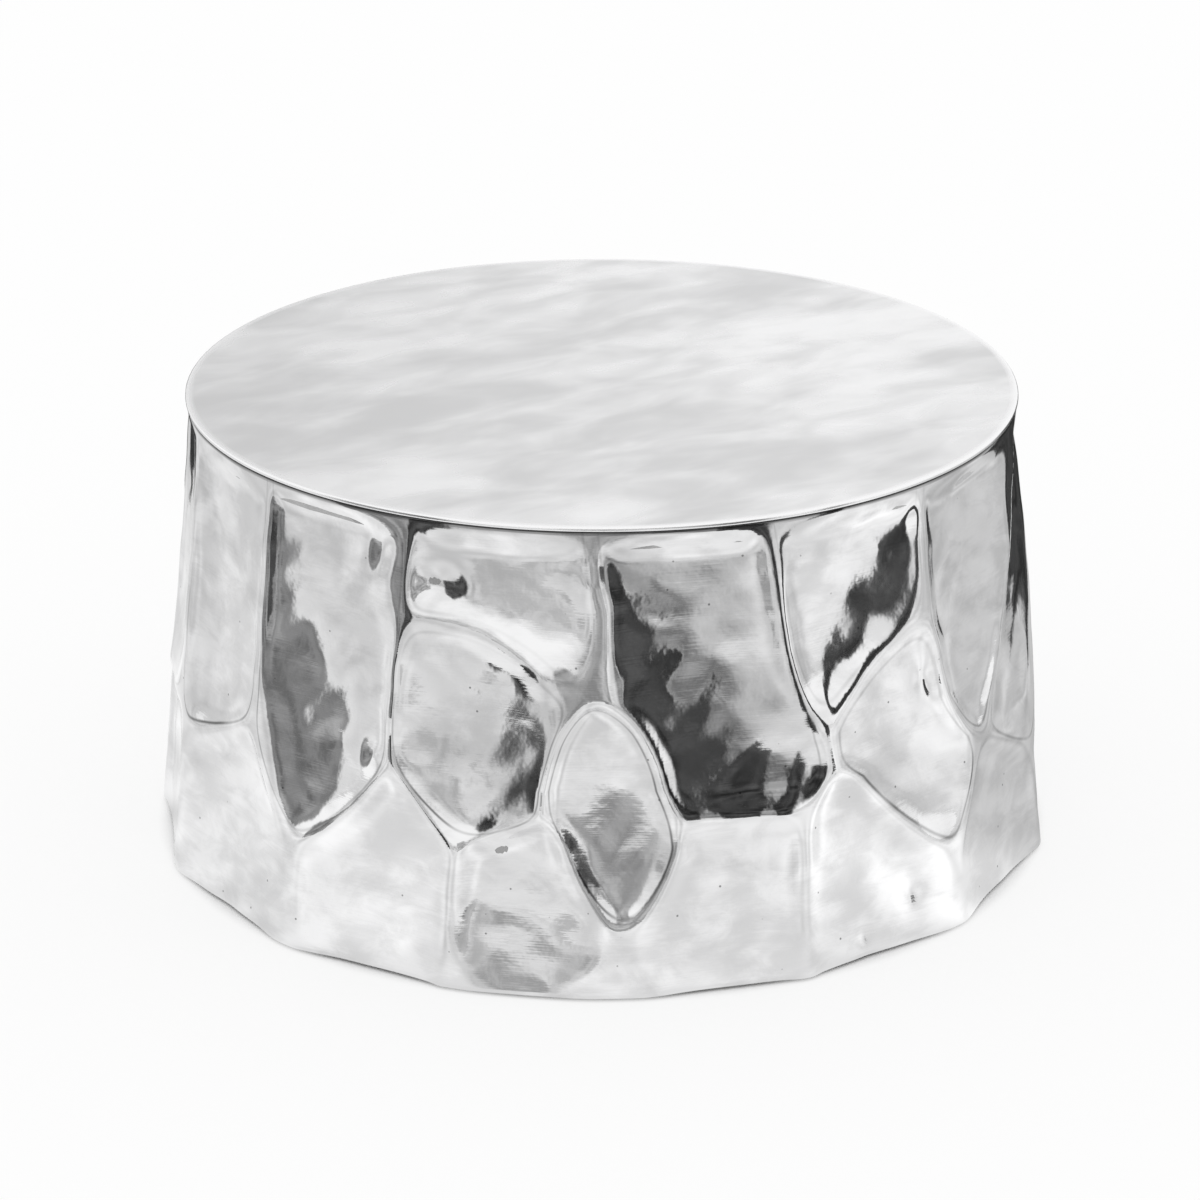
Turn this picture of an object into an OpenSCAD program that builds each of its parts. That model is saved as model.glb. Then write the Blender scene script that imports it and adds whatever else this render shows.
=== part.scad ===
// Round coffee table: a hollow drum of hammered aluminium sheet with a flat top plate.
// Millimetres, +Z up. The origin is on the drum's axis at floor level, and -Y is the front.

/* [Table] */
// Height of the table from the floor to the top
table_h = 305; // [260:5:420]
// Diameter of the wall at its foot, before it is hammered
foot_d = 600; // [500:5:800]
// Diameter of the wall at its upper edge, before it is hammered
mouth_d = 544; // [470:2:760]
// Thickness of the hammered sheet
wall_t = 2.5; // [1.5:0.5:4]

/* [Top plate] */
// Thickness of the top plate
plate_t = 3; // [2.5:0.5:6]
// How far the top plate stands out past the wall's upper edge
plate_lip = 1; // [0:0.5:4]
// Radius of the top plate's rounded edge
plate_round = 1.2; // [0.4:0.1:1.2]

/* [Hollows] */
// Radius of the form that most hollows are hammered with
form_r = 620; // [450:10:800]
// Depth of most hollows
hollow_depth = 9; // [6:0.5:12]
// Distance from the table's top down to the middle of the upper hollows
upper_drop = 105; // [85:5:130]
// Height of the middle of the lower hollows above the wall's foot
lower_rise = 42; // [30:2:60]

/* [Backing board] */
// Thickness of the backing board under the top plate
board_t = 9; // [6:1:15]
// Gap between the board's edge and the deepest hollow
board_gap = 5.5; // [3:0.5:20]
// Number of board screws
board_screws_n = 12; // [6:1:24]

/* [Rings] */
// Thickness of the rim ring under the board
rim_ring_t = 3; // [2:0.5:6]
// How far the rim ring reaches in under the board
rim_lap = 24; // [16:1:40]
// Thickness of the base ring at the foot
base_ring_t = 3; // [2:0.5:6]
// Width of the base ring on each side of a glide
base_lap = 5; // [3:1:15]
// Gap between a ring's outline and the wall that it is welded to
weld_gap = 0.3; // [0.2:0.1:0.8]

/* [Glides] */
// Diameter of a floor glide
glide_d = 24; // [18:1:36]
// Thickness of a floor glide
glide_t = 5; // [4:0.5:10]
// How far the glides lift the wall's foot off the floor
foot_lift = 2; // [1:0.5:3.5]
// Radius of the glide's lower edge
glide_round = 1; // [0.5:0.1:1.5]

/* [Fasteners] */
// Shank diameter of a board screw
wood_screw_d = 3.5; // [3:0.5:4.5]
// Head diameter of a board screw
wood_head_d = 7; // [6:0.5:9]
// Head height of a board screw
wood_head_h = 2.2; // [1.5:0.1:3]
// Length of a board screw under its head
wood_screw_l = 10; // [8:0.5:11]
// Thread diameter of a glide screw
glide_screw_d = 4; // [3:0.5:5]
// Head diameter of a countersunk glide screw
glide_head_d = 8; // [7:0.5:10]
// How far a glide screw's head lies above the floor
head_sink = 1; // [0.5:0.1:1.5]
// Length of thread that stands past a glide nut
thread_past = 1; // [0.5:0.5:3]
// Washer diameter
washer_d = 9; // [8:0.5:12]
// Washer thickness
washer_t = 0.8; // [0.5:0.1:1.5]
// Width across the flats of a glide nut
nut_af = 7; // [6:0.5:10]
// Height of a glide nut
nut_h = 3.2; // [2:0.1:5]
// Gap round a screw's shank in its hole
shank_gap = 0.25; // [0.1:0.05:0.5]
// Gap between a screw's thread and what it is cut into
thread_gap = 0.05; // [0.02:0.01:0.1]

/* [Hidden] */
glides_n = 6;

// Heights above the floor
wall_top = table_h - plate_t;
wall_h = wall_top - foot_lift;
board_z = wall_top - board_t;
rim_ring_z = board_z - rim_ring_t;
base_ring_z = glide_t;
base_ring_top = base_ring_z + base_ring_t;
nut_z = base_ring_top + washer_t;

// The wall's cone: its radius at a height, and how far its side leans in
taper = atan((foot_d - mouth_d) / 2 / wall_h);
function cone_r(z) = foot_d / 2 - (z - foot_lift) * tan(taper);

// Each hollow: angle round the drum from the front, height above or below its row, and its form's
// radius and its depth, each as more or less than the usual one
upper_hollows = [
    [-83, 5, -120, 0.5], [-61.5, -5, -120, 1], [-38, -8, -150, 2.5], [-12, 50, -240, -1],
    [-16.5, -28, -310, 1], [3, -78, -320, -1], [12, 0, -170, 2.5], [33, 36, -220, 1],
    [42, -59, -220, 0.5], [58, 18, -140, 1], [72, -30, -200, 1], [86, 45, -220, 0.5],
    [103, 0, -140, 1], [123, -10, -140, 1], [144, 5, -140, 1], [165, 50, -240, -0.5],
    [162.5, -34, -300, 1], [181, -76, -310, -0.5], [190, 4, -170, 2], [212, -10, -130, 1],
    [234, 8, -130, 0.5], [255, -8, -130, 1]
];
lower_hollows = [
    [-82, 2, -20, 1.5], [-56, 0, -20, 1.5], [-29.5, 2, -20, 1], [-10, 30, -190, 0],
    [15.5, 6, -60, 0], [36.5, 0, -20, 1.5], [64, -6, 40, 2], [90, 0, -20, 1.5], [115, 0, -20, 1.5],
    [140, -2, -20, 1], [163, 2, -60, 0], [187, 0, -60, 0], [211, 2, -20, 1], [235, -2, -20, 1],
    [256, 2, -60, 0.5]
];
// The same hollows as [angle, height above the floor, form radius, depth]
hollows = [
    for (h = upper_hollows) [h[0], table_h - upper_drop + h[1], form_r + h[2], hollow_depth + h[3]],
    for (h = lower_hollows) [h[0], foot_lift + lower_rise + h[1], form_r + h[2], hollow_depth + h[3]]
];
deepest = max([for (h = hollows) h[3]]);

// Half the height and half the width of a hollow on the wall
function half_height(h) = sqrt(2 * h[3] * h[2]);
function half_width(h) = sqrt(2 * h[3] / (1 / cone_r(h[1]) + 1 / h[2]));
// The hollows that come near a height
function hollows_at(z) = [for (h = hollows) if (abs(h[1] - z) < half_height(h) + wall_t) h];

// The clear radius inside the wall at a height, past its deepest hollow
function clear_r(z) = cone_r(z) - deepest - wall_t;
board_r = clear_r(wall_top) - board_gap;
rim_ring_in_r = board_r - rim_lap;
board_screw_r = board_r - rim_lap / 2;
glide_r = clear_r(base_ring_z) - base_lap - glide_d / 2;
base_ring_in_r = glide_r - glide_d / 2 - base_lap;
head_h = (glide_head_d - glide_screw_d) / 2;

round_fn = 180;
small_fn = 48;
// How far a cutting shape is drawn past what it cuts
past = 1;
// Room round a hollow inside the block that its form is cut from
cap_room = 12;
// How far that block reaches out of the wall and into it
cap_out = 48;
cap_in = 24;

// The angle round the drum of copy i of n
function turn(i, n) = (i - 0.5) * 360 / n;

// The drum before it is hammered, drawn in by a thickness and made longer at both ends
module drum_form(inset, extra) {
    r_in = inset / cos(taper);
    translate([0, 0, foot_lift - extra])
        cylinder(h = wall_h + 2 * extra, r1 = cone_r(foot_lift - extra) - r_in,
                 r2 = cone_r(wall_top + extra) - r_in, $fn = round_fn);
}

// One hollow's form, a cap of a large sphere that faces into the wall, grown by a thickness
module hammer_cap(h, grow) {
    half_w = half_width(h) + cap_room;
    half_h = half_height(h) + cap_room;
    rotate([0, 0, h[0]])
        translate([0, -cone_r(h[1]), h[1]])
            rotate([-taper, 0, 0])
                intersection() {
                    translate([0, h[3] - h[2], 0])
                        sphere(h[2] + grow, $fn = round_fn);
                    translate([-half_w, -cap_out, -half_h])
                        cube([2 * half_w, cap_out + cap_in, 2 * half_h]);
                }
}

// The hammered drum as a solid, drawn in by a thickness
module hammered(inset, extra, near) {
    difference() {
        drum_form(inset, extra);
        for (h = near)
            hammer_cap(h, inset);
    }
}

module drum_wall() {
    color("gainsboro")
        difference() {
            hammered(0, 0, hollows);
            hammered(wall_t, past, hollows);
        }
}

module top_plate() {
    r = mouth_d / 2 + plate_lip;
    color("lightgray")
        translate([0, 0, wall_top])
            rotate_extrude($fn = round_fn) {
                square([r - plate_round, plate_t]);
                translate([0, plate_round])
                    square([r, plate_t - 2 * plate_round]);
                for (y = [plate_round, plate_t - plate_round])
                    translate([r - plate_round, y])
                        circle(plate_round, $fn = small_fn);
            }
}

// A flat ring cut to the wall's inner outline
module fitted_ring(z, t, in_r) {
    intersection() {
        hammered(wall_t + weld_gap, past, hollows_at(z));
        translate([0, 0, z])
            difference() {
                cylinder(h = t, d = foot_d, $fn = round_fn);
                translate([0, 0, -past])
                    cylinder(h = t + 2 * past, r = in_r, $fn = round_fn);
            }
    }
}

module rim_ring() {
    color("darkgray")
        difference() {
            fitted_ring(rim_ring_z, rim_ring_t, rim_ring_in_r);
            at_board_screws(rim_ring_z - past)
                cylinder(h = rim_ring_t + 2 * past, d = wood_screw_d + 2 * shank_gap, $fn = small_fn);
        }
}

module backing_board() {
    color("burlywood")
        difference() {
            translate([0, 0, board_z])
                cylinder(h = board_t, r = board_r, $fn = round_fn);
            at_board_screws(board_z - past)
                cylinder(h = wood_screw_l - rim_ring_t + past + thread_gap,
                         d = wood_screw_d + 2 * thread_gap, $fn = small_fn);
        }
}

module at_board_screws(z) {
    for (i = [1:board_screws_n])
        rotate([0, 0, turn(i, board_screws_n)])
            translate([0, -board_screw_r, z])
                children();
}

module board_screws() {
    color("silver")
        at_board_screws(rim_ring_z - wood_head_h) {
            cylinder(h = wood_head_h, d = wood_head_d, $fn = small_fn);
            cylinder(h = wood_head_h + wood_screw_l, d = wood_screw_d, $fn = small_fn);
        }
}

module at_glide(i, z) {
    rotate([0, 0, turn(i, glides_n)])
        translate([0, -glide_r, z])
            children();
}

module at_glides(z) {
    for (i = [1:glides_n])
        at_glide(i, z)
            children();
}

module base_ring() {
    color("darkgray")
        difference() {
            fitted_ring(base_ring_z, base_ring_t, base_ring_in_r);
            at_glides(base_ring_z - past)
                cylinder(h = base_ring_t + 2 * past, d = glide_screw_d + 2 * shank_gap, $fn = small_fn);
        }
}

module floor_glide(i) {
    color("dimgray")
        at_glide(i, 0)
            difference() {
                rotate_extrude($fn = 2 * small_fn) {
                    translate([0, glide_round])
                        square([glide_d / 2, glide_t - glide_round]);
                    square([glide_d / 2 - glide_round, glide_t]);
                    translate([glide_d / 2 - glide_round, glide_round])
                        circle(glide_round, $fn = small_fn);
                }
                translate([0, 0, -past])
                    cylinder(h = glide_t + 2 * past, d = glide_screw_d + 2 * shank_gap, $fn = small_fn);
                translate([0, 0, -past])
                    cylinder(h = head_sink + past, d = glide_head_d + 2 * shank_gap, $fn = small_fn);
                translate([0, 0, head_sink])
                    cylinder(h = head_h, d1 = glide_head_d + 2 * shank_gap,
                             d2 = glide_screw_d + 2 * shank_gap, $fn = small_fn);
            }
}

module glide_screws() {
    color("silver")
        at_glides(head_sink) {
            cylinder(h = head_h, d1 = glide_head_d, d2 = glide_screw_d, $fn = small_fn);
            cylinder(h = nut_z + nut_h + thread_past - head_sink, d = glide_screw_d, $fn = small_fn);
        }
}

module glide_washers() {
    color("silver")
        at_glides(base_ring_top)
            difference() {
                cylinder(h = washer_t, d = washer_d, $fn = small_fn);
                translate([0, 0, -past])
                    cylinder(h = washer_t + 2 * past, d = glide_screw_d + 2 * shank_gap, $fn = small_fn);
            }
}

module glide_nuts() {
    color("silver")
        at_glides(nut_z)
            difference() {
                cylinder(h = nut_h, d = nut_af / cos(30), $fn = 6);
                translate([0, 0, -past])
                    cylinder(h = nut_h + 2 * past, d = glide_screw_d + 2 * thread_gap, $fn = small_fn);
            }
}

drum_wall();
top_plate();
rim_ring();
backing_board();
board_screws();
base_ring();
floor_glide(1);  // floor_glide_1
floor_glide(2);  // floor_glide_2
floor_glide(3);  // floor_glide_3
floor_glide(4);  // floor_glide_4
floor_glide(5);  // floor_glide_5
floor_glide(6);  // floor_glide_6
glide_screws();
glide_washers();
glide_nuts();
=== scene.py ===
"""The looks of a round coffee table: a drum of hammered, polished aluminium under a flat satin top.

It is laid out as an add-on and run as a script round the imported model. Lengths are metres, +Z is up,
and the front is -Y. Angles round the drum start at the front and grow to the right, in degrees.
"""

import math
from typing import NamedTuple

import bpy
import numpy as np
from bpy.props import FloatProperty, FloatVectorProperty, PointerProperty
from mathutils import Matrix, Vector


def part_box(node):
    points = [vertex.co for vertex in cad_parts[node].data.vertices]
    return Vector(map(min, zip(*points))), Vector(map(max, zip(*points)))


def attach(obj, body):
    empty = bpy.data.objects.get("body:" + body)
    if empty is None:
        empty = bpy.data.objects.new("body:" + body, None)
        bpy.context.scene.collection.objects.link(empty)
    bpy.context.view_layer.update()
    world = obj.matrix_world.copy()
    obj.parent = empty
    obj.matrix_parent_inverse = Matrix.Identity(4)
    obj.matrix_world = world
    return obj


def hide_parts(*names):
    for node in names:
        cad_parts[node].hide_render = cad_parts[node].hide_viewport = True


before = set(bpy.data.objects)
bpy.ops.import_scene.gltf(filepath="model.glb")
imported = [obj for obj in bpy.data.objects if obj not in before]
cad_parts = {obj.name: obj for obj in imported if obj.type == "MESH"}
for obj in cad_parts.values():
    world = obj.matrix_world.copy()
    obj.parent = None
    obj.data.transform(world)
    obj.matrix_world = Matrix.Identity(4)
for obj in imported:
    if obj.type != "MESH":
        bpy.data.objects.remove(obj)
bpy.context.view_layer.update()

bl_info = {
    "name": "Hammered Drum Table",
    "version": (1, 0, 0),
    "blender": (4, 5, 0),
    "location": "3D View > Sidebar > Drum Table",
    "description": "Dresses a round coffee table with its hammered wall, satin top and fittings",
    "category": "Object",
}

BODY = "root"
MM = 0.001

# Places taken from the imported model
WALL_LOW, WALL_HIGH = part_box("drum_wall")
PLATE_LOW, PLATE_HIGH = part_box("top_plate")
FOOT_Z = WALL_LOW.z
TOP_Z = WALL_HIGH.z
PLATE_R = (PLATE_HIGH.x - PLATE_LOW.x) / 2

# The drum before it is hammered, and its sheet
FOOT_R = 300 * MM
PLATE_LIP = 1 * MM
MOUTH_R = PLATE_R - PLATE_LIP
WALL_T = 2.5 * MM


class Hollow(NamedTuple):
    """One hollow of the hammered wall, in degrees and millimetres. First the middle line of its cell
    from its low end to its high end, and how much further it reaches than its neighbours. Then its
    bowl: the angle of the deepest line at those two heights, its depth, the radius of its form across
    and along, and the height of its deepest point. A tighter cell gives way faster from its middle
    line, which rounds its outline."""

    low_angle: float
    low_z: float
    high_angle: float
    high_z: float
    reach: float
    low_turn: float
    high_turn: float
    deep: float
    across: float
    along: float
    deep_z: float
    tight: float = 1


UPPER_HOLLOWS = [Hollow(*row) for row in [
    (-83, 165, -83, 300, 3, -83, -83, 9.5, 400, 620, 205, 1.35),
    (-61.5, 165, -61, 300, 3, -61.5, -61, 10, 400, 620, 195, 1.35),
    (-39.5, 138, -38, 300, 5, -36.6, -40.8, 11.5, 360, 760, 192, 1.6),
    (-12, 262, -12, 300, 0, -13, -13, 8.5, 600, 400, 250),
    (-16.5, 165, -16, 188, 4.5, -17.5, -17.5, 10, 360, 600, 168, 1.6),
    (3.2, 98, 0.5, 135, 1.2, 0.5, 0.5, 10.5, 330, 330, 121, 2.4),
    (16, 172, 9, 300, 0, 14.8, 10.9, 11.5, 380, 560, 205),
    (35.5, 228, 34.5, 300, 0, 33.4, 36.6, 10.5, 400, 440, 236),
    (45.5, 124, 41.5, 158, 2.5, 43, 41.5, 10, 500, 450, 138, 1.3),
    (58, 182, 58, 300, 3, 58, 58, 10, 400, 600, 222, 1.35),
    (70, 138, 96, 300, 3, 68.5, 89, 10.5, 400, 620, 185, 1.35),
    (98, 160, 114, 300, 3, 97, 112, 10, 400, 620, 200, 1.35),
    (121, 158, 130, 300, 3, 121, 129, 10, 380, 620, 190, 1.35),
    (143, 168, 146, 300, 3, 143, 145, 10, 400, 620, 205, 1.35),
    (165, 262, 165, 300, 0, 165, 165, 9, 360, 500, 258),
    (162.5, 168, 163, 186, 0, 162, 163, 10, 360, 450, 166),
    (181, 120, 180, 142, -8, 181, 180, 9, 360, 450, 128),
    (194, 165, 187, 300, 3, 192, 188, 11, 360, 560, 205, 1.35),
    (213, 158, 211, 300, 3, 213, 211, 10, 400, 620, 190, 1.35),
    (234, 170, 234, 300, 3, 234, 234, 9.5, 400, 620, 208, 1.35),
    (255, 160, 255, 300, 3, 255, 255, 10, 400, 620, 192, 1.35),
]]
LOWER_HOLLOWS = [Hollow(*row) for row in [
    (-82, 0, -82, 55, 0, -82, -82, 10.5, 600, 620, 46),
    (-56, 0, -56, 55, 6, -56, -56, 10.5, 600, 620, 44),
    (-29.5, 0, -29.5, 60, 0, -29.5, -29.5, 10, 600, 620, 46),
    (-10, 0, -10, 40, -3, -10, -10, 11.5, 500, 350, 88),
    (15.5, 0, 15.5, 56, -1, 15.5, 15.5, 9, 500, 620, 50),
    (36.5, 0, 36.5, 50, 0, 36.5, 36.5, 10.5, 600, 620, 44),
    (64, 0, 64, 52, 0, 64, 64, 11, 700, 620, 38),
    (90, 0, 90, 50, 0, 90, 90, 10.5, 600, 620, 44),
    (115, 0, 115, 55, 0, 115, 115, 10.5, 600, 620, 44),
    (140, 0, 140, 48, 0, 140, 140, 9.5, 500, 620, 42),
    (163, 0, 163, 50, 0, 163, 163, 9, 500, 620, 46),
    (187, 0, 187, 62, 0, 187, 187, 9, 500, 620, 44),
    (211, 0, 211, 54, 0, 211, 211, 9.5, 500, 620, 46),
    (235, 0, 235, 50, 0, 235, 235, 9.5, 500, 620, 42),
    (256, 0, 256, 54, 0, 256, 256, 9, 500, 620, 46),
]]
HOLLOWS = UPPER_HOLLOWS + LOWER_HOLLOWS

# Lighter blows inside the hollows and low bulges between them: the angle and height of the middle,
# half of the width and of the height, how far the long way leans from upright, and the depth
BLOWS = [
    (-39, 291, 22, 5, 0, 1.2),
    (-30, 271, 5, 9, 10, 1.6),
    (-30.5, 141, 5, 7, 0, 1.5),
    (-22.5, 258, 12, 10, 25, 5.6),
    (-9, 182, 9, 6, 0, -0.5),
    (24.2, 131, 28, 20, -28, 3.3),
    (35, 18, 4, 8, 0, 1.7),
    (43, 36, 6, 9, 0, 2.2),
    (47, 174, 5, 8, 0, 1.4),
]

# How hollows share the wall: how much less a step up counts than a step round, the usual distance
# between their middles, the widths over which they blend and fade out, and the ridges' height
UP_SHARE = 0.7
USUAL_STEP = 130 * MM
BLEND = 2.5 * MM
SOFT = 1 * MM
RIDGE_HEIGHT = 2.1 * MM
RIM_FADE = 22 * MM
# How a bowl runs out: how much flatter towards the rim than towards the foot, from which share of the
# way up to the rim it opens into a flat, and how far past its ends its deepest line keeps leaning
RIM_STRETCH = 1.6
OPENS_FROM = 4 / 9
LEAN_ENDS = (-0.15, 1.2)

# The dark line of painted shade beside each hollow of the upper row: its distance from the ridge,
# its width, and how much it is rounded where three hollows meet
CREASE_PLACE = 3.6 * MM
CREASE_WIDTH = 1.1 * MM
CORNER = 5 * MM

# Grid of the wall's mesh: steps round, up the outside and down the inside
WALL_ROUND = 640
WALL_UP = 134
WALL_DOWN = 13
EDGE_ROUND = 0.7 * MM
# Where the two points that round each edge lie across the sheet
EDGE_SHARES = [0.2, 0.8]
# The painted shadow line under the top's lip: how far down it starts, and over what height it turns
# dark
SEAM_SHADOW_H = 2.6 * MM
SEAM_SHADOW_FADE = 1 * MM

# The top plate: steps round and out, the points round its edge, how high its face rises and falls,
# over what distance from the rounded edge that fades, and how far its middle dips
PLATE_ROUND = 360
PLATE_RINGS = 60
EDGE_POINTS = 9
FACE_SWAY = 0.12 * MM
FACE_FADE = 3 * MM
POLE_DIP = 0.05 * MM


class DrumSettings(bpy.types.PropertyGroup):
    """The hammered wall."""

    ridge_width: FloatProperty(
        name="Ridge width", description="Width of the soft ridges between hollows",
        default=6.5 * MM, min=2 * MM, max=20 * MM, unit="LENGTH")
    wave_height: FloatProperty(
        name="Wave height", description="Height of the slow waves that hand work leaves in the sheet",
        default=0.3 * MM, min=0, max=1 * MM, unit="LENGTH", precision=5)
    colour: FloatVectorProperty(
        name="Polish", description="Colour of the polished aluminium",
        default=(0.86, 0.86, 0.865), min=0, max=1, subtype="COLOR")


class TopSettings(bpy.types.PropertyGroup):
    """The top plate."""

    colour: FloatVectorProperty(
        name="Satin", description="Colour of the satin aluminium",
        default=(0.78, 0.78, 0.785), min=0, max=1, subtype="COLOR")
    roughness: FloatProperty(
        name="Roughness", description="Roughness of the satin face", default=0.3, min=0, max=1,
        subtype="FACTOR")
    edge_round: FloatProperty(
        name="Edge", description="Radius of the plate's rounded edge",
        default=1.2 * MM, min=0.2 * MM, max=1.4 * MM, unit="LENGTH", precision=4)


class StageSettings(bpy.types.PropertyGroup):
    """The floor, the light and the camera."""

    floor_colour: FloatVectorProperty(
        name="Floor", description="Colour of the floor", default=(0.97, 0.97, 0.97),
        min=0, max=1, subtype="COLOR")
    lens: FloatProperty(
        name="Lens", description="Focal length", default=141, min=20, max=300, unit="CAMERA")
    camera_tilt: FloatProperty(
        name="Tilt", description="How far the camera looks down",
        default=math.radians(21.44), min=0, max=math.pi / 2, subtype="ANGLE")


class Wire:
    """An output socket of a material's node tree. Arithmetic on wires adds Math nodes."""

    def __init__(self, tree, socket):
        self.tree = tree
        self.socket = socket

    def node(self, kind, settings=None, sockets=None, output=0):
        """Adds a node of a type, applies its settings, fills its sockets and returns an output."""
        made = self.tree.nodes.new(kind)
        for name, value in (settings or {}).items():
            setattr(made, name, value)
        for name, value in (sockets or {}).items():
            connect(self.tree, find_socket(made.inputs, name), value)
        return Wire(self.tree, find_socket(made.outputs, output))

    def math(self, operation, *values):
        """One Math node on one or more values."""
        return self.node("ShaderNodeMath", {"operation": operation}, dict(enumerate(values)))

    def __add__(self, other):
        return self.math("ADD", self, other)

    __radd__ = __add__

    def __sub__(self, other):
        return self.math("SUBTRACT", self, other)

    def __rsub__(self, other):
        return self.math("SUBTRACT", other, self)

    def __mul__(self, other):
        return self.math("MULTIPLY", self, other)

    __rmul__ = __mul__

    def mix(self, low, high):
        """A colour from low to high as this value goes from 0 to 1."""
        return self.node("ShaderNodeMix", {"data_type": "RGBA"},
                         {"Factor_Float": self, "A_Color": low, "B_Color": high}, "Result_Color")

    def range(self, low, high, new_low=0.0, new_high=1.0):
        """This value carried from one range to another, held at its ends."""
        return self.node("ShaderNodeMapRange", {"interpolation_type": "SMOOTHSTEP"},
                         {"Value": self, "From Min": low, "From Max": high,
                          "To Min": new_low, "To Max": new_high})

    def stretch(self, x, y, z):
        """This vector with its axes scaled."""
        return self.node("ShaderNodeVectorMath", {"operation": "MULTIPLY"},
                         {0: self, 1: (x, y, z)})

    def noise(self, scale, detail=2.0, roughness=0.5, distortion=0.0):
        """Noise from 0 to 1 at this place, with scale features to the metre."""
        return self.node("ShaderNodeTexNoise", {"noise_dimensions": "3D"},
                         {"Vector": self, "Scale": scale, "Detail": detail,
                          "Roughness": roughness, "Distortion": distortion})

    def bump(self, distance, normal=None):
        """A normal for a height from 0 to 1 that stands for a distance in metres."""
        sockets = {"Height": self, "Distance": distance, "Strength": 1.0}
        if normal is not None:
            sockets["Normal"] = normal
        return self.node("ShaderNodeBump", {}, sockets)


def find_socket(sockets, name):
    """A socket by its number, its identifier or its name."""
    if isinstance(name, int):
        return sockets[name]
    for socket in sockets:
        if socket.identifier == name:
            return socket
    return sockets[name]


def connect(tree, socket, value):
    """Links a wire to a socket, or writes a number or a colour into it."""
    if isinstance(value, Wire):
        tree.links.new(value.socket, socket)
    elif hasattr(value, "__len__") and socket.type == "RGBA":
        socket.default_value = (*value, 1.0)
    else:
        socket.default_value = value


def new_material(name):
    """A material with a Principled shader alone. Returns it, its shader and its object coordinates."""
    material = bpy.data.materials.new(name)
    material.use_nodes = True
    tree = material.node_tree
    shader = tree.nodes["Principled BSDF"]
    place = tree.nodes.new("ShaderNodeTexCoord")
    return material, shader, Wire(tree, place.outputs["Object"])


def fill(shader, **sockets):
    """Fills the shader's sockets, whose names are written with _ for a space."""
    for name, value in sockets.items():
        connect(shader.id_data, shader.inputs[name.replace("_", " ")], value)


def grey(value, warmth=0.0):
    """A grey with a little warmth."""
    return (value * (1 + warmth), value, value * (1 - warmth))


def tint(colour, share):
    """A colour made lighter or darker by a share."""
    return tuple(min(1.0, c * share) for c in colour)


def attribute(wire, name):
    """A value stored on the mesh's points."""
    return wire.node("ShaderNodeAttribute", {"attribute_name": name}, {}, "Fac")


def cone_radius(z):
    """The drum's outer radius at a height, before it is hammered: a straight line up the side."""
    return FOOT_R + (MOUTH_R - FOOT_R) * (z - FOOT_Z) / (TOP_Z - FOOT_Z)


def around(angle):
    """An angle brought to between -180 and 180 degrees."""
    return (angle + 180) % 360 - 180


def smooth_step(value):
    """0 below 0, 1 above 1, and the cubic 3t^2 - 2t^3 between."""
    t = np.clip(value, 0, 1)
    return t * t * (3 - 2 * t)


def hollow_claims(angle, z):
    """How strongly each hollow claims each place: its reach less its tightness times half the squared
    distance from its middle line, over the usual step. A step up counts for less than a step round."""
    claims = []
    for hollow in HOLLOWS:
        above = z - hollow.low_z * MM
        span = (hollow.high_z - hollow.low_z) * MM
        share = np.clip(above / span, 0, 1)
        middle = hollow.low_angle + (hollow.high_angle - hollow.low_angle) * share
        across = np.radians(around(angle - middle)) * cone_radius(z)
        beyond = above - span * share
        squared = across ** 2 + UP_SHARE * beyond ** 2
        claims.append(hollow.reach * MM - hollow.tight * squared / (2 * USUAL_STEP))
    return np.array(claims)


def bowl_depth(hollow, angle, z):
    """The bowl of one hollow: its depth less u^2 (1 / radius + 1 / across) / 2 and v^2 / (2 along),
    where u is the distance round from its deepest line, v the height above its deepest point, and
    1 / radius the drum's own curve. Towards the rim the bowl runs out more slowly, and 1 / across
    falls to 0, which opens it into a flat."""
    radius = cone_radius(z)
    share = np.clip((z - hollow.low_z * MM) / ((hollow.high_z - hollow.low_z) * MM), *LEAN_ENDS)
    line = hollow.low_turn + (hollow.high_turn - hollow.low_turn) * share
    u = np.radians(around(angle - line)) * radius
    v = z - hollow.deep_z * MM
    climbed = v / (TOP_Z - hollow.deep_z * MM)
    opened = smooth_step((climbed - OPENS_FROM) / (1 - OPENS_FROM))
    bend = 1 / radius + (1 - opened) / (hollow.across * MM)
    rise = v ** 2 / np.where(v > 0, RIM_STRETCH, 1) / (hollow.along * MM)
    return hollow.deep * MM - (u ** 2 * bend + rise) / 2


def hammered_depth(angle, z, claims, ridge_width):
    """How far the wall lies inside the unhammered drum, and how near each place is to a ridge.

    Each place takes the bowl of the hollow with the strongest claim, blended over a short width. Where
    two claims meet a crest rises, its height times exp(-(difference / ridge width)^2), and no higher
    than the bowl is deep."""
    strongest = claims.max(axis=0)
    owner = claims.argmax(axis=0)
    share = np.exp((claims - strongest) / BLEND)
    share /= share.sum(axis=0)
    depth = np.zeros_like(z)
    off_ridge = np.ones_like(z)
    for i, hollow in enumerate(HOLLOWS):
        depth += share[i] * bowl_depth(hollow, angle, z)
        gap = (strongest - claims[i]) / ridge_width
        off_ridge *= np.where(owner == i, 1, 1 - np.exp(-gap ** 2))
    depth = SOFT * np.logaddexp(0, depth / SOFT)
    crest = RIDGE_HEIGHT * np.tanh(depth / RIDGE_HEIGHT) * (1 - off_ridge)
    return depth - crest, 1 - off_ridge


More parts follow.
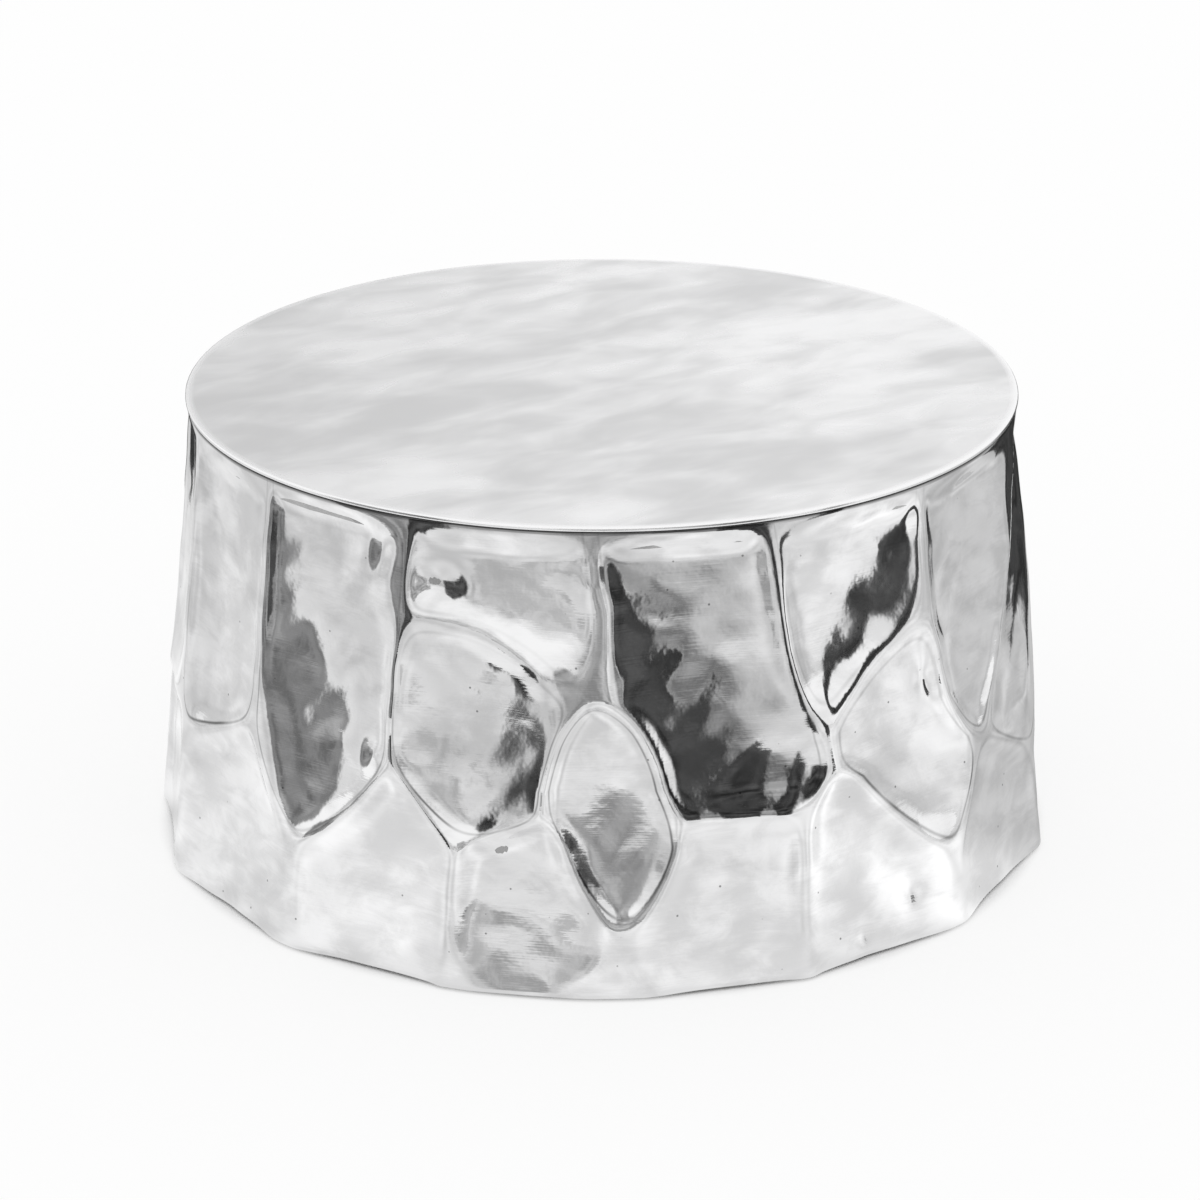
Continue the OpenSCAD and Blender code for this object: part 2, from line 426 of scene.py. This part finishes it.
def ridge_distance(claims):
    """How far each place is from the nearest ridge: -c ln(sum of exp((rival - strongest) / c)), with
    the claims of all hollows but the strongest as rivals and c the rounding of the corners. It is
    counted below zero in the lower row, whose hollows have no painted shade line beside their ridges."""
    owner = claims.argmax(axis=0)
    rivals = np.exp((claims - claims.max(axis=0)) / CORNER)
    rivals[owner, *np.indices(owner.shape)] = 0
    away = -CORNER * np.log(rivals.sum(axis=0))
    return np.where(owner < len(UPPER_HOLLOWS), away, -away)


def light_blows(angle, z):
    """Extra depth from the lighter blows: each a bell, its depth times exp(-(a^2 + b^2) / 2), where a
    and b are the distances across and along its long way, over half of its width and of its height."""
    total = np.zeros_like(z)
    for middle, height, half_width, half_height, lean, deep in BLOWS:
        across = np.radians(around(angle - middle)) * cone_radius(z)
        along = z - height * MM
        turn = math.radians(lean)
        a = (across * math.cos(turn) - along * math.sin(turn)) / (half_width * MM)
        b = (across * math.sin(turn) + along * math.cos(turn)) / (half_height * MM)
        total += deep * MM * np.exp(-(a ** 2 + b ** 2) / 2)
    return total


def slow_waves(angle, z, height, shortest=18 * MM, longest=60 * MM, count=60, seed=3):
    """Waves that meet at the back: a sum of cosines in seeded directions, each as high as it is
    long in proportion, with a whole number of crests round the drum."""
    draw = np.random.default_rng(seed)
    middle_r = (FOOT_R + MOUTH_R) / 2
    total = np.zeros_like(z)
    for _ in range(count):
        length = math.exp(draw.uniform(math.log(shortest), math.log(longest)))
        heading = draw.uniform(0, math.pi)
        phase = draw.uniform(0, 2 * math.pi)
        crests = round(2 * math.pi * middle_r / length * math.cos(heading))
        climb = 2 * math.pi / length * math.sin(heading)
        total += length / longest * np.cos(np.radians(angle) * crests + climb * z + phase)
    return height * total / math.sqrt(count / 2)


def wall_radius(angle, z, settings):
    """The outer radius of the hammered wall, how near each place is to a ridge, and how far from the
    nearest one. The hammering fades out under the rim."""
    claims = hollow_claims(angle, z)
    depth, ridge = hammered_depth(angle, z, claims, settings.ridge_width)
    fade = smooth_step((TOP_Z - z) / RIM_FADE)
    depth += light_blows(angle, z) * (1 - ridge)
    waves = slow_waves(angle, z, settings.wave_height)
    return cone_radius(z) - (depth + waves) * fade, ridge * fade, ridge_distance(claims)


def grid_faces(rows, columns, close_rows=False):
    """Quads of a grid whose columns close on themselves, as an array of corner numbers."""
    row = np.arange(rows if close_rows else rows - 1)[:, None]
    column = np.arange(columns)[None, :]
    above = (row + 1) % rows
    right = (column + 1) % columns
    corners = [row * columns + column, row * columns + right,
               above * columns + right, above * columns + column]
    return np.stack(np.broadcast_arrays(*corners), axis=-1).reshape(-1, 4)


def put_mesh(name, points, faces, attributes=None):
    """A smooth-shaded mesh object at the origin from whole arrays, with values on its points."""
    mesh = bpy.data.meshes.new(name)
    mesh.from_pydata(points.reshape(-1, 3).tolist(), [], [list(f) for f in faces])
    mesh.shade_smooth()
    for key, values in (attributes or {}).items():
        stored = mesh.attributes.new(key, "FLOAT", "POINT")
        stored.data.foreach_set("value", np.asarray(values, np.float32).ravel())
    mesh.validate()
    made = bpy.data.objects.new(name, mesh)
    bpy.context.scene.collection.objects.link(made)
    return made


def on_circle(angle, radius, z):
    """Points at angles round the axis, radii and heights, as one array."""
    turn = np.radians(angle)
    return np.stack(np.broadcast_arrays(radius * np.sin(turn), -radius * np.cos(turn), z), axis=-1)


def wall_section():
    """The wall's closed section as heights, insets from the outer face and an inside mark.

    It runs up the outer face, over the upper edge, down the inner face and under the foot, and each
    edge is rounded by two points, a fifth of the thickness in from either face."""
    up = np.linspace(FOOT_Z + EDGE_ROUND, TOP_Z - EDGE_ROUND, WALL_UP)
    down = np.linspace(TOP_Z - EDGE_ROUND, FOOT_Z + EDGE_ROUND, WALL_DOWN)
    over = [WALL_T * share for share in EDGE_SHARES]
    heights = np.concatenate([up, [TOP_Z] * 2, down, [FOOT_Z] * 2])
    insets = np.concatenate([np.zeros(WALL_UP), over, np.full(WALL_DOWN, WALL_T), over[::-1]])
    inside = np.concatenate([np.zeros(WALL_UP + 1), np.ones(WALL_DOWN + 3)])
    return heights, insets, inside


def build_wall(settings):
    """The wall: its section carried round the drum, with the outer radius worked out at each place."""
    heights, insets, inside = wall_section()
    angles = np.arange(WALL_ROUND) * 360 / WALL_ROUND
    angle, z = np.meshgrid(angles, heights)
    radius, ridge, from_ridge = wall_radius(angle, z, settings)
    points = on_circle(angle, radius - insets[:, None], z)
    faces = grid_faces(len(heights), WALL_ROUND, close_rows=True)
    inside = np.broadcast_to(inside[:, None], z.shape)
    # Painted shadow: a dark band on the outer face just under the top, where the top's lip shades it
    seam_shadow = smooth_step((z - TOP_Z + SEAM_SHADOW_H) / SEAM_SHADOW_FADE) * (1 - inside)
    marks = {"ridge": ridge, "from_ridge": from_ridge, "seam_shadow": seam_shadow, "inside": inside}
    return put_mesh("hammered_wall", points, faces, marks)


# The polished wall: the shares of its colour in dull and in bright polish and in pits, the greys of
# the painted shade line in the creases, of the painted shadow under the top and of the inner face,
# and the heights of its dimples and lines
POLISH_SHARES = (0.86, 1.06)
PIT_SHARE = 0.35
CREASE_SHADE_GREY = 0.1
SEAM_SHADOW_GREY = 0.05
INSIDE_GREY = 0.42
DIMPLE_HEIGHT = 0.1 * MM
LINE_HEIGHT = 0.02 * MM


def polished_aluminium(colour):
    """Hand-polished aluminium: clouds and level smears left by the wheel, fine level lines, soft
    dimples and small pits, a dark line of painted shade in the creases beside the ridges, a dark band
    of painted shadow under the top, and dull mill finish inside. The painted shade in the creases is
    patchy and thins out upwards, from 120 mm to 210 mm above the floor."""
    material, shader, place = new_material("polished_aluminium")
    cloud = place.noise(15, detail=3, distortion=0.3)
    smear = place.stretch(1, 1, 1.8).noise(30, detail=4, roughness=0.6, distortion=0.5)
    lines = place.stretch(0.02, 0.02, 1).noise(900, roughness=0.6)
    dimples = place.noise(110)
    pits = place.node("ShaderNodeTexVoronoi", {"feature": "F1"},
                      {"Vector": place, "Scale": 60.0}, "Distance").range(0.03, 0.06)
    ridge = attribute(place, "ridge")
    inside = attribute(place, "inside")
    beside = attribute(place, "from_ridge") - CREASE_PLACE
    # Painted shade: a dark line in the creases beside the ridges of the upper row
    crease_shade = beside.math("ABSOLUTE", beside).range(0, CREASE_WIDTH, 1, 0) * (1 - inside)
    seam_shadow = attribute(place, "seam_shadow")
    haze = (cloud * 0.55 + smear * 0.45).range(0.36, 0.64)
    polish = haze + (lines - 0.5) * 0.25
    dull, bright = POLISH_SHARES
    outer = polish.range(0, 1).mix(tint(colour, dull), tint(colour, bright))
    outer = pits.mix(tint(colour, PIT_SHARE), outer)
    height = place.node("ShaderNodeSeparateXYZ", {}, {"Vector": place}, "Z")
    # The painted shade line is patchy and fades out upwards
    crease_shade_patches = cloud.range(0.35, 0.6, 1, 0.3) * height.range(120 * MM, 210 * MM, 0.9, 0.2)
    outer = (crease_shade * crease_shade_patches).mix(outer, grey(CREASE_SHADE_GREY))
    # Painted shadow under the top's lip
    outer = seam_shadow.mix(outer, grey(SEAM_SHADOW_GREY))
    whole = inside.mix(outer, grey(INSIDE_GREY))
    roughness = haze.range(0, 1, 0.11, 0.05) - ridge * 0.02
    roughness = roughness + inside * 0.4
    normal = dimples.bump(DIMPLE_HEIGHT)
    normal = lines.bump(LINE_HEIGHT, normal)
    fill(shader, Base_Color=whole, Metallic=1.0, Roughness=roughness, Normal=normal)
    return material


class DRUM_OT_wall(bpy.types.Operator):
    """Builds the hammered wall in place of the drum's plain wall."""

    bl_idname = "drum_table.wall"
    bl_label = "Hammered wall"

    def execute(self, context):
        settings = context.scene.drum_settings
        wall = build_wall(settings)
        wall.data.materials.append(polished_aluminium(settings.colour))
        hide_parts("drum_wall")
        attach(wall, BODY)
        return {"FINISHED"}


def plate_section(edge_round):
    """The top plate's profile as radii, heights and a mark of the upper face: out along the face, round
    the edge by r cos(t) and r sin(t), and back in along the underside with a sixth of the points. The
    mark fades towards the edge."""
    turn = np.linspace(math.pi / 2, -math.pi / 2, EDGE_POINTS)
    edge_in = PLATE_R - edge_round
    half = (PLATE_HIGH.z - PLATE_LOW.z) / 2 - edge_round
    middle_z = (PLATE_LOW.z + PLATE_HIGH.z) / 2
    face = np.linspace(0, 1, PLATE_RINGS + 1)[1:-1] * edge_in
    under = face[::-6]
    edge_z = middle_z + (np.where(turn > 0, half, -half) + edge_round * np.sin(turn))
    radii = np.concatenate([face, edge_in + edge_round * np.cos(turn), under])
    face_z = np.full(len(face), PLATE_HIGH.z)
    under_z = np.full(len(under), PLATE_LOW.z)
    heights = np.concatenate([face_z, edge_z, under_z])
    on_face = smooth_step((edge_in - face) / FACE_FADE)
    return radii, heights, np.concatenate([on_face, np.zeros(len(turn) + len(under))])


def build_plate(settings):
    """The top plate: its profile carried round the axis and closed by a fan at each pole, with a face
    that dips a little where its slow waves fall below zero."""
    radii, heights, on_face = plate_section(settings.edge_round)
    angles = np.arange(PLATE_ROUND) * 360 / PLATE_ROUND
    angle, radius = np.meshgrid(angles, radii)
    z = np.broadcast_to(heights[:, None], radius.shape)
    x, y, _ = np.moveaxis(on_circle(angle, radius, z), -1, 0)
    sway = face_waves(x, y, FACE_SWAY) * on_face[:, None]
    points = on_circle(angle, radius, z + np.minimum(sway, 0)).reshape(-1, 3)
    poles = np.array([[0, 0, PLATE_HIGH.z - POLE_DIP], [0, 0, PLATE_LOW.z]])
    top_pole = len(points)
    ring = np.arange(PLATE_ROUND)
    after = (ring + 1) % PLATE_ROUND
    last = top_pole - PLATE_ROUND
    top_fan = np.stack([np.full(PLATE_ROUND, top_pole), ring, after], axis=-1)
    under_fan = np.stack([np.full(PLATE_ROUND, top_pole + 1), last + after, last + ring], axis=-1)
    quads = grid_faces(len(radii), PLATE_ROUND)[:, ::-1]
    faces = quads.tolist() + top_fan.tolist() + under_fan.tolist()
    marks = {"face": np.concatenate([np.repeat(on_face, PLATE_ROUND), [1, 0]])}
    return put_mesh("satin_top", np.concatenate([points, poles]), faces, marks)


def face_waves(x, y, height, count=24, seed=8):
    """Slow rise and fall over a flat face: a sum of cosines in seeded directions."""
    draw = np.random.default_rng(seed)
    total = np.zeros_like(x)
    for _ in range(count):
        length = draw.uniform(50, 160) * MM
        heading = draw.uniform(0, 2 * math.pi)
        phase = draw.uniform(0, 2 * math.pi)
        total += np.cos(2 * math.pi / length * (x * math.cos(heading) + y * math.sin(heading)) + phase)
    return height * total / math.sqrt(count / 2)


# The satin top: the turn and stretch of its rubbed clouds, the shares of its colour where it is rubbed
# dull, where it is bright and on the polished edge, whose lighter colour is a painted highlight, the
# edge's roughness, and the depth of its scratches
RUB_TURN = 0.6
RUB_STRETCH = 1.8
RUBBED_SHARES = (0.83, 1.13)
EDGE_HIGHLIGHT_SHARE = 1.2
EDGE_ROUGHNESS = 0.22
SCRATCH_DEPTH = 0.003 * MM


def satin_aluminium(colour, roughness):
    """Satin aluminium: a cloudy rubbed face with painted light that makes it a little brighter on the
    right, with fine crossing scratches, and a polished edge whose lighter colour is a painted
    highlight."""
    material, shader, place = new_material("satin_aluminium")
    face = attribute(place, "face")
    swept = place.node("ShaderNodeMapping", {"vector_type": "TEXTURE"},
                       {"Vector": place, "Rotation": (0, 0, RUB_TURN),
                        "Scale": (RUB_STRETCH, 1, 1)}, "Vector")
    cloud = swept.noise(9, detail=3, distortion=0.5)
    patch = swept.noise(26, detail=3, distortion=0.4)
    # Painted light: the face grows brighter towards +X, the right
    side = place.node("ShaderNodeSeparateXYZ", {}, {"Vector": place}, "X")
    haze = (cloud * 0.6 + patch * 0.4 + side * 0.12).range(0.35, 0.65)
    dull, bright = RUBBED_SHARES
    rubbed = haze.mix(tint(colour, dull), tint(colour, bright))
    scratch = place.stretch(1, 0.04, 1).noise(1400, detail=1)
    scratch = scratch + place.stretch(0.04, 1, 1).noise(1400, detail=1)
    # Painted highlight: the edge has a lighter colour than the face, besides its lower roughness
    whole = face.mix(tint(colour, EDGE_HIGHLIGHT_SHARE), rubbed)
    rough = haze.range(0, 1, roughness + 0.05, roughness - 0.05)
    rough = face * (rough - EDGE_ROUGHNESS) + EDGE_ROUGHNESS
    fill(shader, Base_Color=whole, Metallic=1.0, Roughness=rough, Normal=scratch.bump(SCRATCH_DEPTH))
    return material


class DRUM_OT_top(bpy.types.Operator):
    """Builds the satin top plate in place of the plain one."""

    bl_idname = "drum_table.top"
    bl_label = "Satin top"

    def execute(self, context):
        settings = context.scene.top_settings
        plate = build_plate(settings)
        plate.data.materials.append(satin_aluminium(settings.colour, settings.roughness))
        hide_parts("top_plate")
        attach(plate, BODY)
        return {"FINISHED"}


def paint_nodes(material, *names):
    """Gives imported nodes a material."""
    for name in names:
        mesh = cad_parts[name].data
        mesh.materials.clear()
        mesh.materials.append(material)


def mill_aluminium():
    """Plain rolled sheet: faint rolling lines and a dull grey haze."""
    material, shader, place = new_material("mill_aluminium")
    rolled = place.stretch(1, 0.03, 1).noise(700, roughness=0.6)
    cloud = place.noise(30, detail=3)
    whole = (rolled * 0.4 + cloud * 0.6).range(0.3, 0.7).mix(grey(0.5), grey(0.62))
    fill(shader, Base_Color=whole, Metallic=1.0, Roughness=cloud.range(0.3, 0.7, 0.34, 0.46),
         Normal=rolled.bump(0.006 * MM))
    return material


class DRUM_OT_rings(bpy.types.Operator):
    """Finishes the rim ring and the base ring as rolled sheet."""

    bl_idname = "drum_table.rings"
    bl_label = "Rings"

    def execute(self, context):
        paint_nodes(mill_aluminium(), "rim_ring", "base_ring")
        return {"FINISHED"}


def plywood():
    """Birch plywood: a pale face with long grain and a wavy figure."""
    material, shader, place = new_material("plywood")
    grain = place.stretch(1, 0.06, 1).noise(260, detail=4, roughness=0.65, distortion=0.4)
    figure = place.stretch(1, 0.12, 1).noise(28, detail=3, distortion=1.2)
    face = (grain * 0.5 + figure * 0.5).range(0.32, 0.68).mix((0.42, 0.27, 0.14), (0.66, 0.49, 0.31))
    fill(shader, Base_Color=face, Roughness=figure.range(0.3, 0.7, 0.5, 0.68),
         Normal=grain.bump(0.05 * MM))
    return material


class DRUM_OT_board(bpy.types.Operator):
    """Finishes the backing board as plywood."""

    bl_idname = "drum_table.board"
    bl_label = "Backing board"

    def execute(self, context):
        paint_nodes(plywood(), "backing_board")
        return {"FINISHED"}


def zinc_steel():
    """Zinc-plated steel: a cool bright skin with a faint spangle."""
    material, shader, place = new_material("zinc_steel")
    spangle = place.noise(420)
    fill(shader, Base_Color=spangle.range(0.3, 0.7).mix((0.55, 0.57, 0.60), (0.70, 0.71, 0.72)),
         Metallic=1.0, Roughness=spangle.range(0.3, 0.7, 0.24, 0.38), Normal=spangle.bump(0.01 * MM))
    return material


class DRUM_OT_fasteners(bpy.types.Operator):
    """Finishes the screws, washers and nuts as zinc-plated steel."""

    bl_idname = "drum_table.fasteners"
    bl_label = "Fasteners"

    def execute(self, context):
        paint_nodes(zinc_steel(), "board_screws", "glide_screws", "glide_washers", "glide_nuts")
        return {"FINISHED"}


def grey_nylon():
    """Moulded nylon: dark grey, with a fine eroded grain and scuffs."""
    material, shader, place = new_material("grey_nylon")
    grain = place.noise(1500, roughness=0.6)
    scuff = place.noise(160, detail=3, roughness=0.6)
    fill(shader, Base_Color=scuff.range(0.35, 0.7).mix(grey(0.055), grey(0.10)),
         Roughness=scuff.range(0.3, 0.7, 0.42, 0.6), Normal=grain.bump(0.02 * MM))
    return material


class DRUM_OT_glides(bpy.types.Operator):
    """Finishes the floor glides as moulded nylon."""

    bl_idname = "drum_table.glides"
    bl_label = "Floor glides"

    def execute(self, context):
        names = [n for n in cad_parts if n.startswith("floor_glide_")]
        paint_nodes(grey_nylon(), *names)
        return {"FINISHED"}


# Studio cards round the table, seen only in reflections: from one angle to another round the table,
# the distance, the lower and upper edge, the grey, how many degrees each side takes to fade, and the
# height over which the lower edge fades, or the upper edge where it is below zero
CARDS = [
    (25.6, 37, 0.8, 0, 0.44, 0.05, 0.6, 2, 0),
    (50.2, 56.4, 0.8, 0, 0.44, 0.05, 0.6, 0.6, 0),
    (19.4, 26.1, 0.87, 0, 0.5, 0.36, 3.6, 0.5, 0.05),
    (-63, -44, 0.8, 0, 0.44, 0.26, 1, 1, 0),
    (-44, -34, 0.8, 0, 0.44, 0.07, 1, 1, 0),
    (115, 146, 0.8, 0, 0.33, 0.05, 1.5, 1.5, 0),
    (-172, -138, 0.8, 0, 0.33, 0.05, 1.5, 1.5, 0),
    (-10, 24, 3.6, 0.12, 1.1, 0.45, 3, 2, 0),
    (-38, -8, 1.2, 0, 0.32, 0.58, 3, 3, -0.24),
    (-8.5, 6.5, 0.8, 0, 0.3, 0.42, 1, 1, 0),
    (12, 30, 2.5, 0.11, 0.48, 0.08, 2, 2, 0),
    (184, 215, 5, 0.6, 4.5, 0.82, 5, 4, 0),
]
# The cards' grid, how strong the clouds on them are, the distance at which the clouds have their true
# size, and their darkest grey
CARD_COLUMNS = 49
CARD_ROWS = 25
CARD_CLOUDS = 0.35
CLOUD_PLACE = 0.8
CARD_DARKEST = 0.02

# The ground that is seen only in reflections: its inner and outer radius, the width over which it
# fades out, its rings, how high it lies, its grey, and how strong its clouds are
SHEET_IN = 0.29
SHEET_OUT = 4
SHEET_FADE = 1.5
SHEET_RINGS = 150
SHEET_Z = 1 * MM
SHEET_GREY = 0.73
SHEET_CLOUDS = 0.07

# The floor: its radius and that of its innermost ring, the degrees between its spokes, its rings, how
# far it is lifted towards white, and the rays for which it is
FLOOR_R = 14.0
FLOOR_IN = 0.5
FLOOR_SPOKES = 5
FLOOR_RINGS = 12
FLOOR_LIFT = 0.72
FLOOR_RAYS = ("Is Camera Ray", "Is Glossy Ray", "Is Transmission Ray")

# Where the camera stands, from the outline of the top and the foot in the photograph
CAMERA_PLACE = (-1.2 * MM, -2.9283, 1.3011)


def floor_paint(colour):
    """Matt pale paint, lifted towards white for the camera, mirrors and glass, so that the object's
    shadow stays but is faint. Under the drum it isn't lifted."""
    material, shader, place = new_material("pale_floor")
    fill(shader, Base_Color=colour, Roughness=1.0, Specular_IOR_Level=0.0)
    tree = material.node_tree
    rays = [place.node("ShaderNodeLightPath", {}, {}, name) for name in FLOOR_RAYS]
    total = rays[0] + rays[1] + rays[2]
    out = place.node("ShaderNodeVectorMath", {"operation": "LENGTH"}, {0: place}, "Value")
    beyond_foot = out.range(FOOT_R - 10 * MM, FOOT_R + 2 * MM)
    seen = total.math("MINIMUM", total, 1.0) * beyond_foot * FLOOR_LIFT
    white = place.node("ShaderNodeEmission", {}, {"Color": (1, 1, 1), "Strength": 1.0}, "Emission")
    matt = Wire(tree, shader.outputs["BSDF"])
    mixed = place.node("ShaderNodeMixShader", {}, {0: seen, 1: matt, 2: white}, "Shader")
    tree.links.new(mixed.socket, tree.nodes["Material Output"].inputs["Surface"])
    return material


def card_material():
    """Cards and the ground sheet glow with the grey stored on their points, and where they fade they
    let what lies behind them through."""
    material, shader, place = new_material("studio_card")
    tree = material.node_tree
    glow = attribute(place, "glow")
    shown = attribute(place, "shown")
    light = glow.node("ShaderNodeEmission", {}, {"Color": glow, "Strength": 1.0}, "Emission")
    clear = glow.node("ShaderNodeBsdfTransparent", {}, {}, "BSDF")
    mixed = shown.node("ShaderNodeMixShader", {}, {0: shown, 1: clear, 2: light}, "Shader")
    tree.links.new(mixed.socket, tree.nodes["Material Output"].inputs["Surface"])
    tree.nodes.remove(shader)
    return material


def reflection_only(card):
    """Leaves a card to mirror reflections alone, so that it neither shows nor lights nor shades."""
    card.visible_camera = False
    card.visible_diffuse = False
    card.visible_transmission = False
    card.visible_shadow = False


def build_floor(colour):
    """A round floor with its middle under the table: rings of points and a fan at the centre."""
    radii = np.geomspace(FLOOR_IN, FLOOR_R, FLOOR_RINGS)
    angle, radius = np.meshgrid(np.arange(0, 360, FLOOR_SPOKES), radii)
    points = on_circle(angle, radius, 0.0).reshape(-1, 3)
    columns = angle.shape[1]
    ring = np.arange(columns)
    fan = np.stack([np.full(columns, len(points)), ring, (ring + 1) % columns], axis=-1)
    faces = grid_faces(len(radius), columns)[:, ::-1].tolist() + fan.tolist()
    floor = put_mesh("floor", np.concatenate([points, [[0, 0, 0]]]), faces)
    floor.data.materials.append(floor_paint(colour))


def build_card(material, start, stop, distance, low, high, value, fade_start, fade_stop, rise):
    """One curved card: a strip at a distance from the axis between two angles and two heights, its
    grey a little cloudy. Each side fades from clear to full over twice its fade, half of it outside
    the card's angles, and the lower or upper edge fades over the rise, all as a cubic step."""
    turns = np.linspace(start - fade_start, stop + fade_stop, CARD_COLUMNS)
    angle, z = np.meshgrid(turns, np.linspace(low, high, CARD_ROWS))
    shown = smooth_step((angle - start + fade_start) / (2 * fade_start))
    shown *= smooth_step((stop + fade_stop - angle) / (2 * fade_stop))
    if rise > 0:
        shown *= smooth_step((z - low) / rise)
    if rise < 0:
        shown *= smooth_step((high - z) / -rise)
    level = np.radians(angle) * CLOUD_PLACE
    clouds = face_waves(level, z * CLOUD_PLACE / distance, CARD_CLOUDS * (1 - value))
    glow = np.maximum(value * (1 + clouds), CARD_DARKEST)
    row, column = np.meshgrid(np.arange(CARD_ROWS - 1), np.arange(CARD_COLUMNS - 1), indexing="ij")
    first = row * CARD_COLUMNS + column
    quads = np.stack([first + 1, first, first + CARD_COLUMNS, first + CARD_COLUMNS + 1], axis=-1)
    points = on_circle(angle, distance, z)
    marks = {"glow": glow, "shown": shown}
    card = put_mesh(f"card_{start}_{stop}", points, quads.reshape(-1, 4), marks)
    card.data.materials.append(material)
    reflection_only(card)


def ground_clouds(angle, radius, count=40, seed=5):
    """Clouds on the ground sheet: a sum of cosines of a whole number of turns and of ln(radius)."""
    draw = np.random.default_rng(seed)
    total = np.zeros_like(radius)
    for _ in range(count):
        turns = draw.integers(5, 32)
        climb = draw.uniform(-12, 12)
        phase = draw.uniform(0, 2 * math.pi)
        total += np.cos(np.radians(angle) * turns + climb * np.log(radius) + phase)
    return total / math.sqrt(count / 2)


def ground_glow(angle, radius):
    """The grey of the ground sheet at an angle and a distance d out from the foot, with light and shade
    painted in. To its plain grey come 0.26 exp(-d / 350 mm), less a dark line of painted shadow at the
    foot, 0.14 exp(-d / 45 mm), and a bell 0.13 high round 60 degrees, where the front right is painted
    lighter. On the right, from there to the back at 185 degrees, it is painted darker as shade: by
    0.33 exp(-d / 300 mm) near the foot, and by 0.12 all the way out."""
    out = radius - FOOT_R
    # Painted light and painted shadow: lighter near the table, with a dark line at the foot
    glow = SHEET_GREY + 0.26 * np.exp(-out / 0.35) - 0.14 * np.exp(-out / 0.045)
    glow += 0.13 * np.exp(-(around(angle - 60) / 16) ** 2)
    near = 0.33 * np.exp(-out / 0.3) * smooth_step((angle - 66) / 14)
    far = 0.12 * smooth_step((angle - 78) / 16)
    glow -= (near + far) * smooth_step((185 - angle) / 20)
    return glow * (1 + SHEET_CLOUDS * ground_clouds(angle, radius))


def build_ground_sheet(material):
    """A flat ring on the floor, seen only in reflections: pale grey and cloudy. It fades out far from
    the table."""
    radii = np.linspace(SHEET_IN, SHEET_OUT, SHEET_RINGS)
    angle, radius = np.meshgrid(np.arange(0, 360, 1), radii)
    shown = smooth_step((SHEET_OUT - radius) / SHEET_FADE)
    marks = {"glow": ground_glow(angle, radius), "shown": shown}
    faces = grid_faces(len(radius), angle.shape[1])[:, ::-1]
    sheet = put_mesh("ground_sheet", on_circle(angle, radius, SHEET_Z), faces, marks)
    sheet.data.materials.append(material)
    reflection_only(sheet)


def build_world():
    """White light from all round."""
    world = bpy.data.worlds.new("studio")
    world.use_nodes = True
    background = world.node_tree.nodes["Background"]
    background.inputs["Color"].default_value = (1, 1, 1, 1)
    background.inputs["Strength"].default_value = 1.0
    bpy.context.scene.world = world


def build_camera(settings):
    """The camera, at the photograph's angle."""
    data = bpy.data.cameras.new("camera")
    data.lens = settings.lens
    data.sensor_width = 36
    data.clip_end = 100
    camera = bpy.data.objects.new("camera", data)
    camera.location = CAMERA_PLACE
    camera.rotation_euler = (math.pi / 2 - settings.camera_tilt, 0, 0)
    bpy.context.scene.collection.objects.link(camera)
    bpy.context.scene.camera = camera


class DRUM_OT_stage(bpy.types.Operator):
    """Sets up the floor, the light, the cards and the camera."""

    bl_idname = "drum_table.stage"
    bl_label = "Stage"

    def execute(self, context):
        settings = context.scene.stage_settings
        build_camera(settings)
        build_world()
        build_floor(settings.floor_colour)
        material = card_material()
        build_ground_sheet(material)
        for card in CARDS:
            build_card(material, *card)
        context.scene.view_settings.view_transform = "Standard"
        return {"FINISHED"}


class DRUM_PT_panel(bpy.types.Panel):
    """Lists the table's pieces and the stage."""

    bl_idname = "DRUM_PT_panel"
    bl_label = "Drum Table"
    bl_space_type = "VIEW_3D"
    bl_region_type = "UI"
    bl_category = "Drum Table"

    def draw(self, context):
        for operator in OPERATORS:
            self.layout.operator(operator.bl_idname)
        for settings in ("drum_settings", "top_settings", "stage_settings"):
            group = getattr(context.scene, settings)
            for name in group.bl_rna.properties.keys():
                if name not in ("rna_type", "name"):
                    self.layout.prop(group, name)


OPERATORS = [DRUM_OT_stage, DRUM_OT_wall, DRUM_OT_top, DRUM_OT_rings, DRUM_OT_board,
             DRUM_OT_fasteners, DRUM_OT_glides]
GROUPS = {"drum_settings": DrumSettings, "top_settings": TopSettings, "stage_settings": StageSettings}


def register():
    """Registers the classes and hangs their settings on the scene."""
    for cls in [*GROUPS.values(), *OPERATORS, DRUM_PT_panel]:
        bpy.utils.register_class(cls)
    for name, cls in GROUPS.items():
        setattr(bpy.types.Scene, name, PointerProperty(type=cls))


def unregister():
    """Takes the settings off the scene and unregisters the classes, last one first."""
    for name in GROUPS:
        delattr(bpy.types.Scene, name)
    for cls in reversed([*GROUPS.values(), *OPERATORS, DRUM_PT_panel]):
        bpy.utils.unregister_class(cls)


def main():
    register()
    bpy.ops.drum_table.stage()
    bpy.ops.drum_table.wall()
    bpy.ops.drum_table.top()
    bpy.ops.drum_table.rings()
    bpy.ops.drum_table.board()
    bpy.ops.drum_table.fasteners()
    bpy.ops.drum_table.glides()


if __name__ == "__main__":
    main()
